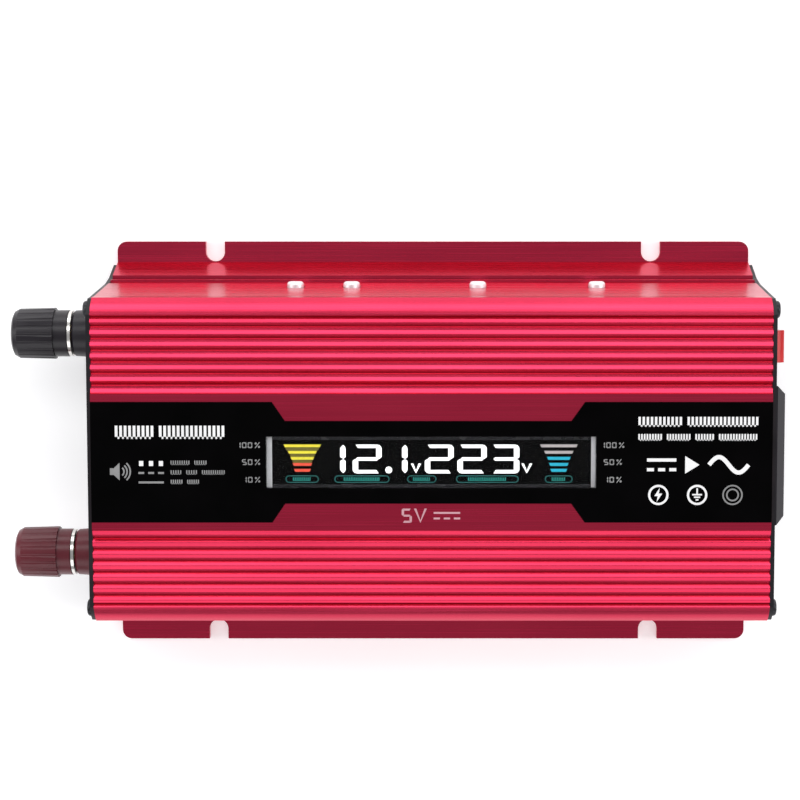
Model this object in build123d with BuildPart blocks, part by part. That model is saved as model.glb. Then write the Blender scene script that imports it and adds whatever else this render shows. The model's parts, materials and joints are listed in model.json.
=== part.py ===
from build123d import *
import os
from math import radians, tan

# A power inverter in a flanged, ribbed aluminium case, lying on its base. Millimetres.
# Origin: centre of the underside. -X is the supply-terminal end, +X the outlet end,
# +Z the display face. The case is a mirror image of itself about the plane Y = 0; its side
# walls lean inward and end below in a hollow flared skirt.

os.makedirs("parts", exist_ok=True)

# Case
CASE_LENGTH = 200.0
CASE_TOP = 58.0
END = CASE_LENGTH / 2
PANEL = 1.2
PANEL_FACE = END + PANEL
WALL_INNER = 46.8
FLANGE_EDGE = 63.8
FLANGE_THICKNESS = 2.5
FLANGE_CORNER = 3.0
AXIS_HEIGHT = 28.5

# Flange notches for the fixing screws
NOTCH_X = 69.0
NOTCH_WIDTH = 6.0
NOTCH_DEPTH = 6.25

# Ribs of the cover: each has a long outward-leaning ramp and a short steep flank
RIB_COUNT = 6
RIB_PITCH = 3.43
RIB_FLANK = 1.2
RIB_TOP = 57.3
RIB_BOTTOM = 56.25
RAMP_MIDDLE = (1.1, 56.95)
FIRST_GROOVE_Y = 39.85
FLAT_HALF_WIDTH = 20.2
CREST_RADIUS = 0.25

# Joint between cover and tray: the cover's foot hangs outside a tongue on the tray's skirt
SKIRT_FOOT = 57.3
SKIRT_TOP = (53.4, 13.0)
TONGUE_TOP = 18.0
TONGUE_OUTER = 48.8
FOOT_INNER = 49.0
FOOT_BOTTOM = 14.8

# Screw channels along the two extrusions
CHANNEL_Y = 44.5
CHANNEL_Z = (7.5, 50.5)
CHANNEL_RADIUS = 1.5
BOSS_INNER = 41.8

# Face label and display
LABEL_THICKNESS = 0.35
LABEL_WIDE = 17.8
LABEL_NARROW = 12.2
LABEL_STEP_X = (-46.8, -43.0, 41.0, 45.0)
WINDOW_X = (-48.6, 48.3)
WINDOW_HALF_WIDTH = 7.6
WINDOW_MIDDLE = sum(WINDOW_X) / 2
WINDOW_LENGTH = WINDOW_X[1] - WINDOW_X[0]
FRAME_WALL = 1.5
FRAME_RIM = 2.2

# Supply terminals: distances u are measured outward from the panel's face
NEGATIVE_Y = 36.2
POSITIVE_Y = -31.25
STUD_RADIUS = 3.0
STUD_CLEARANCE = 0.05
STUD_END = 23.0
BUSH_LENGTH = 8.2
WASHER = (8.5, 9.4)
KNOB_START = 9.6
SKIRT_END = 13.8
KNOB_BORE_END = 24.0
KNOB_END = 26.6
KNOB_RADIUS = 7.8
SKIRT_RADIUS = 7.1
FLUTES = 20

# Fan, a 40 mm square one, 10 mm deep
FAN_SIZE = 40.0
FAN_DEPTH = 10.0
FAN_SCREW_PITCH = 32.0
SINK_DEPTH = PANEL + 0.1
FAN_THROAT = 18.6
HUB_RADIUS = 10.0
BLADE_TIP = 17.9
BLADES = 7
BLADE_TILT = 38

# Stamped grille in front of the fan: concentric slots crossed by four spokes
GRILLE_RINGS = (17.0, 12.5, 8.0)
GRILLE_SLOT = 2.6
GRILLE_SPOKE_LENGTH = 38.0

# Outlet end
SOCKET_Y = 1.0
SOCKET_WIDTH = 41.6
SOCKET_HEIGHT = 44.0
SOCKET_BEZEL = 3.9
SOCKET_CHAMFER = 2.5
SOCKET_BODY = (36.0, 38.0, 27.0)
SOCKET_RECESS = (33.0, 34.0)
SOCKET_RECESS_DEPTH = 0.9
PIN_HOLE = (5.4, 7.4)
EARTH_HOLE = (6.4, 5.4)
PIN_DEPTH = 18.7
PIN_PLACES = ((SOCKET_Y - 9.5, 24.0), (SOCKET_Y + 9.5, 24.0))
EARTH_PLACE = (SOCKET_Y, 36.5)
SWITCH_Y = 32.6
SWITCH_BEZEL = (15.2, 21.0, 2.2)
SWITCH_BODY = (12.8, 19.0, 12.5)
ROCKER_WIDTH = 9.8
ROCKER_RADIUS = 8.4
ROCKER_TILT = 10
ROCKER_PIVOT_X = 100.7
ROCKER_LIP = 5.4
ROCKER_HOLLOW = 3.3
USB_Y = -31.0
USB_SIZE = (13.2, 5.8)
USB_WALL = 0.35
USB_REAR_X = 88.0

# Main board
BOARD_X = (-86.0, 66.0)
BOARD_BOTTOM = 12.2
BOARD_THICKNESS = 1.6
BOARD_TOP = BOARD_BOTTOM + BOARD_THICKNESS
BOARD_HALF_WIDTH = 46.2
STANDOFF_PLACES = [(x, y) for x in (-80.0, 60.0) for y in (-24.0, 24.0)]

# Parts along the side walls
SIDE_SCREW_X = (-41.7, -24.6, 13.9, 50.2)
SIDE_SCREW_SEAT = 50.1
SEAT_RADIUS = 2.9
DEVICE_X = (-49.8, -33.1, -16.5, 5.8, 22.0, 42.1, 58.3)
PAD_THICKNESS = 0.4
DEVICE_BACK = WALL_INNER - PAD_THICKNESS
DEVICE_FRONT = DEVICE_BACK - 4.5
BAR_THICKNESS = 1.4
BAR_SPANS = ((-56.0, -10.0), (-1.0, 64.0))


def save(part, name):
    """Label one finished piece and write it to its own file."""
    part.label = name
    export_step(part, f"parts/{name}.step")


def end_outline():
    """Face of an end panel, Y across and Z up."""
    with BuildSketch() as face:
        with BuildLine():
            Polyline((0, 2.7), (56.4, 2.7), (52.6, 13.0), (51.0, 20.6), (48.0, 50.0), (47.9, 52.4))
            ThreePointArc((47.9, 52.4), (45.85, 55.0), (43.3, 57.0))
            Line((43.3, 57.0), (0, 57.0))
            mirror(about=Plane.YZ)
        make_face()
    return face.sketch


def arc_radii(points):
    """The largest tangent arcs that the two runs beside each corner allow."""
    radii = []
    for before, corner, after in zip(points, points[1:], points[2:]):
        arriving, leaving = Vector(*corner) - Vector(*before), Vector(*after) - Vector(*corner)
        half_turn = radians(arriving.get_angle(leaving)) / 2
        radii.append(0.45 * min(arriving.length, leaving.length) / tan(half_turn))
    return radii


def wire(name, points, thickness):
    """One insulated wire along straight runs joined by tangent arcs."""
    radii = arc_radii(points)
    print(name, "arc radii", [round(radius, 1) for radius in radii])
    with BuildPart() as strand:
        with BuildLine() as route:
            FilletPolyline(*points, radius=radii)
        with BuildSketch(Plane(origin=route.line @ 0, z_dir=route.line % 0)):
            Circle(thickness / 2)
        sweep()
    return strand.part


def loom(name, routes, thickness):
    """Several separate wires written as one piece."""
    strands = [wire(name, route, thickness) for route in routes]
    with BuildPart() as bundle:
        add(strands)
    save(bundle.part, name)


def base_tray():
    with BuildPart() as tray:
        with BuildSketch(Plane.YZ.offset(-END)):
            with BuildLine():
                Polyline(
                    (0, 0),
                    (FLANGE_EDGE, 0),
                    (FLANGE_EDGE, FLANGE_THICKNESS),
                    (SKIRT_FOOT, FLANGE_THICKNESS),
                    SKIRT_TOP,
                    (TONGUE_OUTER, SKIRT_TOP[1]),
                    (TONGUE_OUTER, TONGUE_TOP),
                    (WALL_INNER, TONGUE_TOP),
                    (WALL_INNER, 12.0),
                    (BOSS_INNER, 12.0),
                    (BOSS_INNER, FLANGE_THICKNESS),
                    (0, FLANGE_THICKNESS),
                )
                mirror(about=Plane.YZ)
            make_face()
            with Locations((-CHANNEL_Y, CHANNEL_Z[0]), (CHANNEL_Y, CHANNEL_Z[0])):
                Circle(CHANNEL_RADIUS, mode=Mode.SUBTRACT)
            # The skirts are hollow
            with BuildLine() as hollow:
                Polyline((47.4, 2.5), (55.2, 2.5), (51.9, 11.2), (47.4, 11.2), close=True)
            make_face(mode=Mode.SUBTRACT)
            with BuildLine():
                mirror(hollow.line, about=Plane.YZ)
            make_face(mode=Mode.SUBTRACT)
        extrude(amount=CASE_LENGTH)
        corners = tray.edges().filter_by(Axis.Z).filter_by(lambda e: abs(e.center().Y) > SKIRT_FOOT)
        fillet(corners, FLANGE_CORNER)
        notches = [(x, y) for x in (-NOTCH_X, NOTCH_X) for y in (-FLANGE_EDGE, FLANGE_EDGE)]
        with BuildSketch():
            with Locations(*notches):
                SlotOverall(2 * NOTCH_DEPTH, NOTCH_WIDTH, rotation=90)
        extrude(amount=FLANGE_THICKNESS, mode=Mode.SUBTRACT)
    save(tray.part, "base_tray")


def rib_points():
    """Half of the cover's ribbed top, from the shoulder to the flat middle."""
    points = [(43.2, 57.2), (42.5, 56.5), (41.9, 57.0), (FIRST_GROOVE_Y + RIB_FLANK, RIB_TOP)]
    for rib in range(RIB_COUNT):
        groove_y = FIRST_GROOVE_Y - rib * RIB_PITCH
        points.append((groove_y, RIB_BOTTOM))
        points.append((groove_y - RAMP_MIDDLE[0], RAMP_MIDDLE[1]))
        points.append((groove_y - RIB_PITCH + RIB_FLANK, RIB_TOP))
    return points + [(FLAT_HALF_WIDTH, CASE_TOP), (0, CASE_TOP)]


def top_cover():
    with BuildPart() as cover:
        with BuildSketch(Plane.YZ.offset(-END)):
            with BuildLine():
                Polyline(
                    (FOOT_INNER, FOOT_BOTTOM),
                    (52.3, FOOT_BOTTOM),
                    (52.1, 17.5),
                    (50.9, 17.5),
                    (50.9, 20.4),
                    (51.25, 20.6),
                    (48.4, 48.0),
                    (48.15, 52.6),
                )
                ThreePointArc((48.15, 52.6), (46.05, 55.2), (43.2, 57.2))
                Polyline(*rib_points())
                Polyline(
                    (0, 55.8),
                    (FLAT_HALF_WIDTH, 55.8),
                    (21.6, 54.4),
                    (BOSS_INNER, 54.4),
                    (BOSS_INNER, 47.0),
                    (WALL_INNER, 47.0),
                    (WALL_INNER, TONGUE_TOP),
                    (FOOT_INNER, TONGUE_TOP),
                    (FOOT_INNER, FOOT_BOTTOM),
                )
                mirror(about=Plane.YZ)
            make_face()
            with Locations((-CHANNEL_Y, CHANNEL_Z[1]), (CHANNEL_Y, CHANNEL_Z[1])):
                Circle(CHANNEL_RADIUS, mode=Mode.SUBTRACT)
        extrude(amount=CASE_LENGTH)
        crests = cover.edges().filter_by(Axis.X).filter_by(
            lambda e: abs(e.center().Z - RIB_TOP) < 0.01 and abs(e.center().Y) > 21.5
        )
        fillet(crests, CREST_RADIUS)
        with BuildSketch(Plane.XY.offset(CASE_TOP)):
            with Locations((WINDOW_MIDDLE, 0)):
                Rectangle(WINDOW_LENGTH + 2 * FRAME_WALL, 2 * (WINDOW_HALF_WIDTH + FRAME_WALL))
        extrude(amount=-4, mode=Mode.SUBTRACT)
        side_screws = [(x, AXIS_HEIGHT) for x in SIDE_SCREW_X]
        with BuildSketch(Plane.XZ.offset(-FLANGE_EDGE)):
            with Locations(*side_screws):
                Circle(1.6)
        extrude(amount=2 * FLANGE_EDGE, mode=Mode.SUBTRACT)
        # Flat seats sunk into the sloping walls; the sketch plane's normal runs along -Y
        for way in (-1, 1):
            with BuildSketch(Plane.XZ.offset(way * SIDE_SCREW_SEAT)):
                with Locations(*side_screws):
                    Circle(SEAT_RADIUS)
            extrude(amount=way * 3.0, mode=Mode.SUBTRACT)
    save(cover.part, "top_cover")


def panel_screw_places():
    return [(y, z) for y in (-CHANNEL_Y, CHANNEL_Y) for z in CHANNEL_Z]


def dc_end_panel():
    pitch = FAN_SCREW_PITCH / 2
    fan_screws = [(y, AXIS_HEIGHT + z) for y in (-pitch, pitch) for z in (-pitch, pitch)]
    outline = end_outline()
    with BuildPart() as panel:
        with BuildSketch(Plane.YZ.offset(-END)):
            add(outline)
            with Locations(*panel_screw_places()):
                Circle(1.6, mode=Mode.SUBTRACT)
            with Locations((POSITIVE_Y, AXIS_HEIGHT), (NEGATIVE_Y, AXIS_HEIGHT)):
                Circle(5.05, mode=Mode.SUBTRACT)
            with Locations((0, AXIS_HEIGHT)):
                for ring_radius in GRILLE_RINGS:
                    Circle(ring_radius + GRILLE_SLOT / 2, mode=Mode.SUBTRACT)
                    Circle(ring_radius - GRILLE_SLOT / 2)
                Rectangle(GRILLE_SPOKE_LENGTH, 3.0, rotation=45)
                Rectangle(GRILLE_SPOKE_LENGTH, 3.0, rotation=-45)
        extrude(amount=-PANEL)
        with Locations(*[(-PANEL_FACE + SINK_DEPTH / 2, y, z) for y, z in fan_screws]):
            Cone(3.05, 1.6, SINK_DEPTH, rotation=(0, 90, 0), mode=Mode.SUBTRACT)
            Cylinder(1.6, 4, rotation=(0, 90, 0), mode=Mode.SUBTRACT)
    save(panel.part, "dc_end_panel")


def ac_end_panel():
    outline = end_outline()
    with BuildPart() as panel:
        with BuildSketch(Plane.YZ.offset(END)):
            add(outline)
            with Locations(*panel_screw_places()):
                Circle(1.6, mode=Mode.SUBTRACT)
            with Locations((SOCKET_Y, AXIS_HEIGHT)):
                Rectangle(SOCKET_BODY[0] + 0.4, SOCKET_BODY[1] + 0.4, mode=Mode.SUBTRACT)
            with Locations((SWITCH_Y, AXIS_HEIGHT)):
                Rectangle(SWITCH_BODY[0] + 0.4, SWITCH_BODY[1] + 0.2, mode=Mode.SUBTRACT)
            with Locations((USB_Y, AXIS_HEIGHT)):
                Rectangle(USB_SIZE[0] + 0.4, USB_SIZE[1] + 0.4, mode=Mode.SUBTRACT)
            with Locations((USB_Y, AXIS_HEIGHT - 16), (USB_Y, AXIS_HEIGHT + 16)):
                with GridLocations(3.2, 0, 5, 1):
                    SlotOverall(10, 1.8, rotation=90, mode=Mode.SUBTRACT)
        extrude(amount=PANEL)
    save(panel.part, "ac_end_panel")


def panel_screws(name, way):
    """Four pan-head screws on one end panel; way is -1 or +1 along X."""
    places = panel_screw_places()
    with BuildPart() as screws:
        with BuildSketch(Plane.YZ.offset(way * PANEL_FACE)):
            with Locations(*places):
                Circle(2.6)
        extrude(amount=way * 1.6)
        rims = screws.edges().filter_by(lambda e: abs(e.center().X) > PANEL_FACE + 1.5)
        fillet(rims, 0.9)
        with BuildSketch(Plane.YZ.offset(way * PANEL_FACE)):
            with Locations(*places):
                Circle(1.4)
        extrude(amount=-way * 8)
        with BuildSketch(Plane.YZ.offset(way * (PANEL_FACE + 1.6))):
            with Locations(*places):
                Rectangle(2.8, 0.6)
                Rectangle(0.6, 2.8)
        extrude(amount=-way, mode=Mode.SUBTRACT)
    save(screws.part, name)


def side_clamp_screws():
    with BuildPart() as screws:
        for way in (-1, 1):
            # The plane's normal points along way, and its x runs along the world's x times way
            seat = (0, way * SIDE_SCREW_SEAT, AXIS_HEIGHT)
            face = Plane(origin=seat, x_dir=(-way, 0, 0), z_dir=(0, way, 0))
            places = [(-way * x, 0) for x in SIDE_SCREW_X]
            with BuildSketch(face):
                with Locations(*places):
                    Circle(2.6)
            extrude(amount=2.0)
            fillet(screws.edges().filter_by(lambda e: way * e.center().Y > SIDE_SCREW_SEAT + 1.9), 1.1)
            with BuildSketch(face):
                with Locations(*places):
                    Circle(1.4)
            extrude(amount=-10.3)
            with BuildSketch(face.offset(2.0)):
                with Locations(*places):
                    Rectangle(2.8, 0.6)
                    Rectangle(0.6, 2.8)
            extrude(amount=-1.1, mode=Mode.SUBTRACT)
    save(screws.part, "side_clamp_screws")


def face_label():
    wide_left, narrow_left, narrow_right, wide_right = LABEL_STEP_X
    with BuildPart() as label:
        with BuildSketch(Plane.XY.offset(CASE_TOP)):
            with BuildLine():
                Polyline(
                    (-END, 0),
                    (-END, LABEL_WIDE),
                    (wide_left, LABEL_WIDE),
                    (narrow_left, LABEL_NARROW),
                    (narrow_right, LABEL_NARROW),
                    (wide_right, LABEL_WIDE),
                    (END, LABEL_WIDE),
                    (END, 0),
                )
                mirror(about=Plane.XZ)
            make_face()
            with Locations((WINDOW_MIDDLE, 0)):
                Rectangle(WINDOW_LENGTH, 2 * WINDOW_HALF_WIDTH, mode=Mode.SUBTRACT)
        extrude(amount=LABEL_THICKNESS)
    save(label.part, "face_label")


def plate(name, x_range, y_range, z_range):
    """A plain flat plate or block between two corners."""
    with BuildPart() as block:
        with BuildSketch(Plane.XY.offset(z_range[0])):
            with Locations((sum(x_range) / 2, sum(y_range) / 2)):
                Rectangle(x_range[1] - x_range[0], y_range[1] - y_range[0])
        extrude(amount=z_range[1] - z_range[0])
    save(block.part, name)


def display():
    inner = (WINDOW_X[0] + 0.1, WINDOW_X[1] - 0.1)
    across = (-WINDOW_HALF_WIDTH + 0.1, WINDOW_HALF_WIDTH - 0.1)
    long, wide = WINDOW_LENGTH + 2.8, 2 * WINDOW_HALF_WIDTH + 2.8
    with BuildPart() as frame:
        with BuildSketch(Plane.XY.offset(50.0)):
            with Locations((WINDOW_MIDDLE, 0)):
                Rectangle(long, wide)
        extrude(amount=7.9)
        with BuildSketch(Plane.XY.offset(54.2)):
            with Locations((WINDOW_MIDDLE, 0)):
                Rectangle(long + 2 * FRAME_RIM, wide + 2 * FRAME_RIM)
        extrude(amount=1.6)
        with BuildSketch(Plane.XY.offset(50.0)):
            with Locations((WINDOW_MIDDLE, 0)):
                Rectangle(WINDOW_LENGTH, 2 * WINDOW_HALF_WIDTH)
        extrude(amount=7.9, mode=Mode.SUBTRACT)
    save(frame.part, "display_frame")
    plate("display_window", inner, across, (56.8, 58.3))
    plate("lcd_panel", inner, across, (54.6, 56.8))
    plate("backlight_plate", inner, across, (51.6, 54.6))
    plate("display_board", inner, across, (50.0, 51.6))
    route = [(31, 0, 50.0), (31, 0, 43), (34, 0, 33), (31.5, 0, 23), (31.5, 0, BOARD_TOP)]
    with BuildPart() as cable:
        with BuildLine() as line:
            FilletPolyline(*route, radius=arc_radii(route))
        with BuildSketch(Plane(origin=route[0], x_dir=(0, 1, 0), z_dir=(0, 0, -1))):
            Rectangle(10, 0.9)
        sweep()
    save(cable.part, "display_cable")


def turned(y, profile):
    """A terminal piece turned about its stud's axis; profile is (u, radius) pairs."""
    centre = (-PANEL_FACE, y, AXIS_HEIGHT)
    with BuildPart() as piece:
        with BuildSketch(Plane(origin=centre, x_dir=(-1, 0, 0), z_dir=(0, 1, 0))):
            with BuildLine():
                Polyline(*profile, close=True)
            make_face()
        revolve(axis=Axis(centre, (-1, 0, 0)))
    return piece.part


def terminal(side, y):
    bore = STUD_RADIUS + STUD_CLEARANCE
    bush = [
        (-3.0, bore),
        (-3.0, 5.0),
        (0, 5.0),
        (0, 8.7),
        (1.4, 8.7),
        (3.0, 7.3),
        (BUSH_LENGTH - 0.6, 7.0),
        (BUSH_LENGTH, 6.4),
        (BUSH_LENGTH, bore),
    ]
    washer = [(WASHER[0], 3.3), (WASHER[0], 7.0), (WASHER[1], 7.0), (WASHER[1], 3.3)]
    stud = [(-12.0, 0), (-12.0, STUD_RADIUS), (STUD_END, STUD_RADIUS), (STUD_END, 0)]
    grip = [
        (KNOB_START, bore),
        (KNOB_START, SKIRT_RADIUS),
        (SKIRT_END, SKIRT_RADIUS),
        (SKIRT_END, KNOB_RADIUS),
        (KNOB_END - 2.0, KNOB_RADIUS - 0.25),
        (KNOB_END - 0.6, KNOB_RADIUS - 1.0),
        (KNOB_END, KNOB_RADIUS - 2.2),
        (KNOB_END, 0),
        (KNOB_BORE_END, 0),
        (KNOB_BORE_END, bore),
    ]
    save(turned(y, bush), f"{side}_terminal_bush")
    save(turned(y, washer), f"{side}_clamp_washer")
    save(turned(y, stud), f"{side}_terminal_stud")
    with BuildPart() as knob:
        add(turned(y, grip))
        with BuildSketch(Plane.YZ.offset(-PANEL_FACE - SKIRT_END)):
            with Locations((y, AXIS_HEIGHT)):
                with PolarLocations(KNOB_RADIUS + 0.45, FLUTES):
                    Circle(0.8)
        extrude(amount=-(KNOB_END - SKIRT_END + 1), mode=Mode.SUBTRACT)
    save(knob.part, f"{side}_knob")


def terminal_hardware():
    """Inner nuts and ring lugs, one of each behind either terminal."""
    places = [(POSITIVE_Y, AXIS_HEIGHT), (NEGATIVE_Y, AXIS_HEIGHT)]
    lug_x, nut_x = -PANEL_FACE + 3.0, -PANEL_FACE + 4.0
    bore = STUD_RADIUS + STUD_CLEARANCE
    with BuildPart() as nuts:
        with BuildSketch(Plane.YZ.offset(nut_x)):
            with Locations(*places):
                RegularPolygon(5.0, 6, major_radius=False)
                Circle(bore, mode=Mode.SUBTRACT)
        extrude(amount=5.0)
    save(nuts.part, "terminal_nuts")
    with BuildPart() as lugs:
        with BuildSketch(Plane.YZ.offset(lug_x)):
            with Locations(*places):
                Circle(6.0)
                with Locations((0, 5.0)):
                    Rectangle(6.0, 10.0)
                Circle(bore, mode=Mode.SUBTRACT)
        extrude(amount=1.0)
        with BuildSketch(Plane.YZ.offset(lug_x)):
            with Locations(*[(y, z + 10.0) for y, z in places]):
                Circle(2.9)
        extrude(amount=9.0)
        with BuildSketch(Plane.YZ.offset(lug_x + 9.0)):
            with Locations(*[(y, z + 10.0) for y, z in places]):
                Circle(2.0)
        extrude(amount=-7.0, mode=Mode.SUBTRACT)
    save(lugs.part, "terminal_lugs")
    for side, y in (("positive", POSITIVE_Y), ("negative", NEGATIVE_Y)):
        start = (lug_x + 2.0, y, AXIS_HEIGHT + 10.0)
        route = [start, (-74.0, y, 38.5), (-63.0, y, 28.5), (-63.0, y, BOARD_TOP)]
        loom(f"{side}_supply_wire", [route], 3.9)


def fan():
    front, back = -END, -END + FAN_DEPTH
    pitch = FAN_SCREW_PITCH / 2
    centre = (0, AXIS_HEIGHT)
    with BuildPart() as frame:
        with BuildSketch(Plane.YZ.offset(front)):
            with Locations(centre):
                RectangleRounded(FAN_SIZE, FAN_SIZE, 2.5)
                Circle(FAN_THROAT, mode=Mode.SUBTRACT)
        extrude(amount=FAN_DEPTH)
        with BuildSketch(Plane.YZ.offset(back - 1.5)):
            with Locations(centre):
                Circle(9.5)
                with PolarLocations(14.0, 3, start_angle=30):
                    Rectangle(11.0, 3.0)
        extrude(amount=1.5)
        with BuildSketch(Plane.YZ.offset(back - 1.5)):
            with Locations(centre):
                Circle(3.0)
                Circle(2.0, mode=Mode.SUBTRACT)
        extrude(amount=-5.5)
        with BuildSketch(Plane.YZ.offset(front)):
            with Locations(centre):
                with GridLocations(FAN_SCREW_PITCH, FAN_SCREW_PITCH, 2, 2):
                    Circle(1.6)
        extrude(amount=FAN_DEPTH, mode=Mode.SUBTRACT)
    save(frame.part, "fan_frame")

    def ring(name, start, length, outer, inner):
        with BuildPart() as sleeve:
            with BuildSketch(Plane.YZ.offset(start)):
                with Locations(centre):
                    Circle(outer)
                    if inner:
                        Circle(inner, mode=Mode.SUBTRACT)
            extrude(amount=length)
        save(sleeve.part, name)

    ring("fan_bearing", back - 6.9, 5.3, 2.0, 1.05)
    ring("fan_stator", back - 6.6, 4.0, 7.4, 3.05)
    ring("fan_shaft", front + 1.0, 7.3, 1.0, 0)
    with BuildPart() as rotor:
        with BuildSketch(Plane.YZ.offset(front + 1.0)):
            with Locations(centre):
                Circle(HUB_RADIUS)
        extrude(amount=6.6)
        with BuildSketch(Plane.YZ.offset(front + 2.2)):
            with Locations(centre):
                Circle(8.4)
        extrude(amount=6.0, mode=Mode.SUBTRACT)
        for blade in range(BLADES):
            turn = blade * 360 / BLADES
            root = Plane(origin=(front + 4.3, 0, AXIS_HEIGHT), x_dir=(1, 0, 0), z_dir=(0, 0, 1))
            root = root.rotated((turn, 0, 0)).offset(HUB_RADIUS - 0.6)
            with BuildSketch(root):
                Rectangle(8.4, 1.0, rotation=BLADE_TILT)
            extrude(amount=BLADE_TIP - HUB_RADIUS)
        with BuildSketch(Plane.YZ.offset(front + 1.0)):
            with Locations(centre):
                Circle(BLADE_TIP)
        extrude(amount=7.4, mode=Mode.INTERSECT)
        with BuildSketch(Plane.YZ.offset(front)):
            with Locations(centre):
                Circle(1.0)
        extrude(amount=4.0, mode=Mode.SUBTRACT)
    save(rotor.part, "fan_rotor")

    with BuildPart() as screws:
        for y in (-pitch, pitch):
            for z in (-pitch, pitch):
                with Locations((-PANEL_FACE + SINK_DEPTH / 2, y, AXIS_HEIGHT + z)):
                    Cone(2.95, 1.45, SINK_DEPTH, rotation=(0, 90, 0))
                with Locations((-PANEL_FACE + 6.5, y, AXIS_HEIGHT + z)):
                    Cylinder(1.4, 11.0, rotation=(0, 90, 0))
        with BuildSketch(Plane.YZ.offset(-PANEL_FACE)):
            with Locations(centre):
                with GridLocations(FAN_SCREW_PITCH, FAN_SCREW_PITCH, 2, 2):
                    Rectangle(3.0, 0.6)
                    Rectangle(0.6, 3.0)
        extrude(amount=0.8, mode=Mode.SUBTRACT)
    save(screws.part, "fan_screws")
    leads = [
        [(back, y, 24.0), (back + 6.0, y, 24.0), (back + 10.0, y, 20.0), (back + 10.0, y, BOARD_TOP)]
        for y in (11.0, 12.6)
    ]
    loom("fan_lead", leads, 1.3)


def socket():
    width, height, depth = SOCKET_BODY
    with BuildPart() as housing:
        with BuildSketch(Plane.YZ.offset(PANEL_FACE)):
            with Locations((SOCKET_Y, AXIS_HEIGHT)):
                Rectangle(SOCKET_WIDTH, SOCKET_HEIGHT)
        extrude(amount=SOCKET_BEZEL)
        chamfer(housing.edges().group_by(Axis.X)[-1], SOCKET_CHAMFER)
        with BuildSketch(Plane.YZ.offset(PANEL_FACE + SOCKET_BEZEL)):
            with Locations((SOCKET_Y, AXIS_HEIGHT)):
                RectangleRounded(*SOCKET_RECESS, 5.0)
        extrude(amount=-SOCKET_RECESS_DEPTH, mode=Mode.SUBTRACT)
        with BuildSketch(Plane.YZ.offset(PANEL_FACE)):
            with Locations((SOCKET_Y, AXIS_HEIGHT)):
                Rectangle(width, height)
        extrude(amount=-depth)
        with BuildSketch(Plane.YZ.offset(PANEL_FACE + SOCKET_BEZEL)):
            with Locations(*PIN_PLACES):
                RectangleRounded(*PIN_HOLE, 1.0)
            with Locations(EARTH_PLACE):
                RectangleRounded(*EARTH_HOLE, 1.0)
        extrude(amount=-PIN_DEPTH, mode=Mode.SUBTRACT)
        with BuildSketch(Plane.YZ.offset(PANEL_FACE - depth)):
            with Locations(*PIN_PLACES, EARTH_PLACE):
                Rectangle(1.0, 4.2)
        extrude(amount=depth, mode=Mode.SUBTRACT)
    save(housing.part, "socket_housing")
    floor_x = PANEL_FACE + SOCKET_BEZEL - PIN_DEPTH
    with BuildPart() as contacts:
        for (y, z), hole in zip((*PIN_PLACES, EARTH_PLACE), (PIN_HOLE, PIN_HOLE, EARTH_HOLE)):
            with BuildSketch(Plane.YZ.offset(floor_x)):
                with Locations((y, z)):
                    Rectangle(hole[0] - 0.1, 4.0)
                    Rectangle(hole[0] - 0.9, 4.0, mode=Mode.SUBTRACT)
            extrude(amount=10.0)
            with BuildSketch(Plane.YZ.offset(floor_x)):
                with Locations((y, z)):
                    Rectangle(hole[0] - 0.1, 4.0)
            extrude(amount=0.5)
            with BuildSketch(Plane.YZ.offset(floor_x)):
                with Locations((y, z)):
                    Rectangle(0.8, 4.0)
            extrude(amount=-(floor_x - 69.0))
    save(contacts.part, "socket_contacts")
    routes = [
        [(69.0, y, z), (61.0, y, z), (55.0, y, z - 4.5), (55.0, y, BOARD_TOP)]
        for y, z in PIN_PLACES
    ]
    earth_y, earth_z = EARTH_PLACE
    earth = [(x, earth_y, z) for x, z in ((69.0, earth_z), (61.0, earth_z), (55.5, 28.0), (55.5, BOARD_TOP))]
    loom("socket_wires", [*routes, earth], 1.6)


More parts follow.
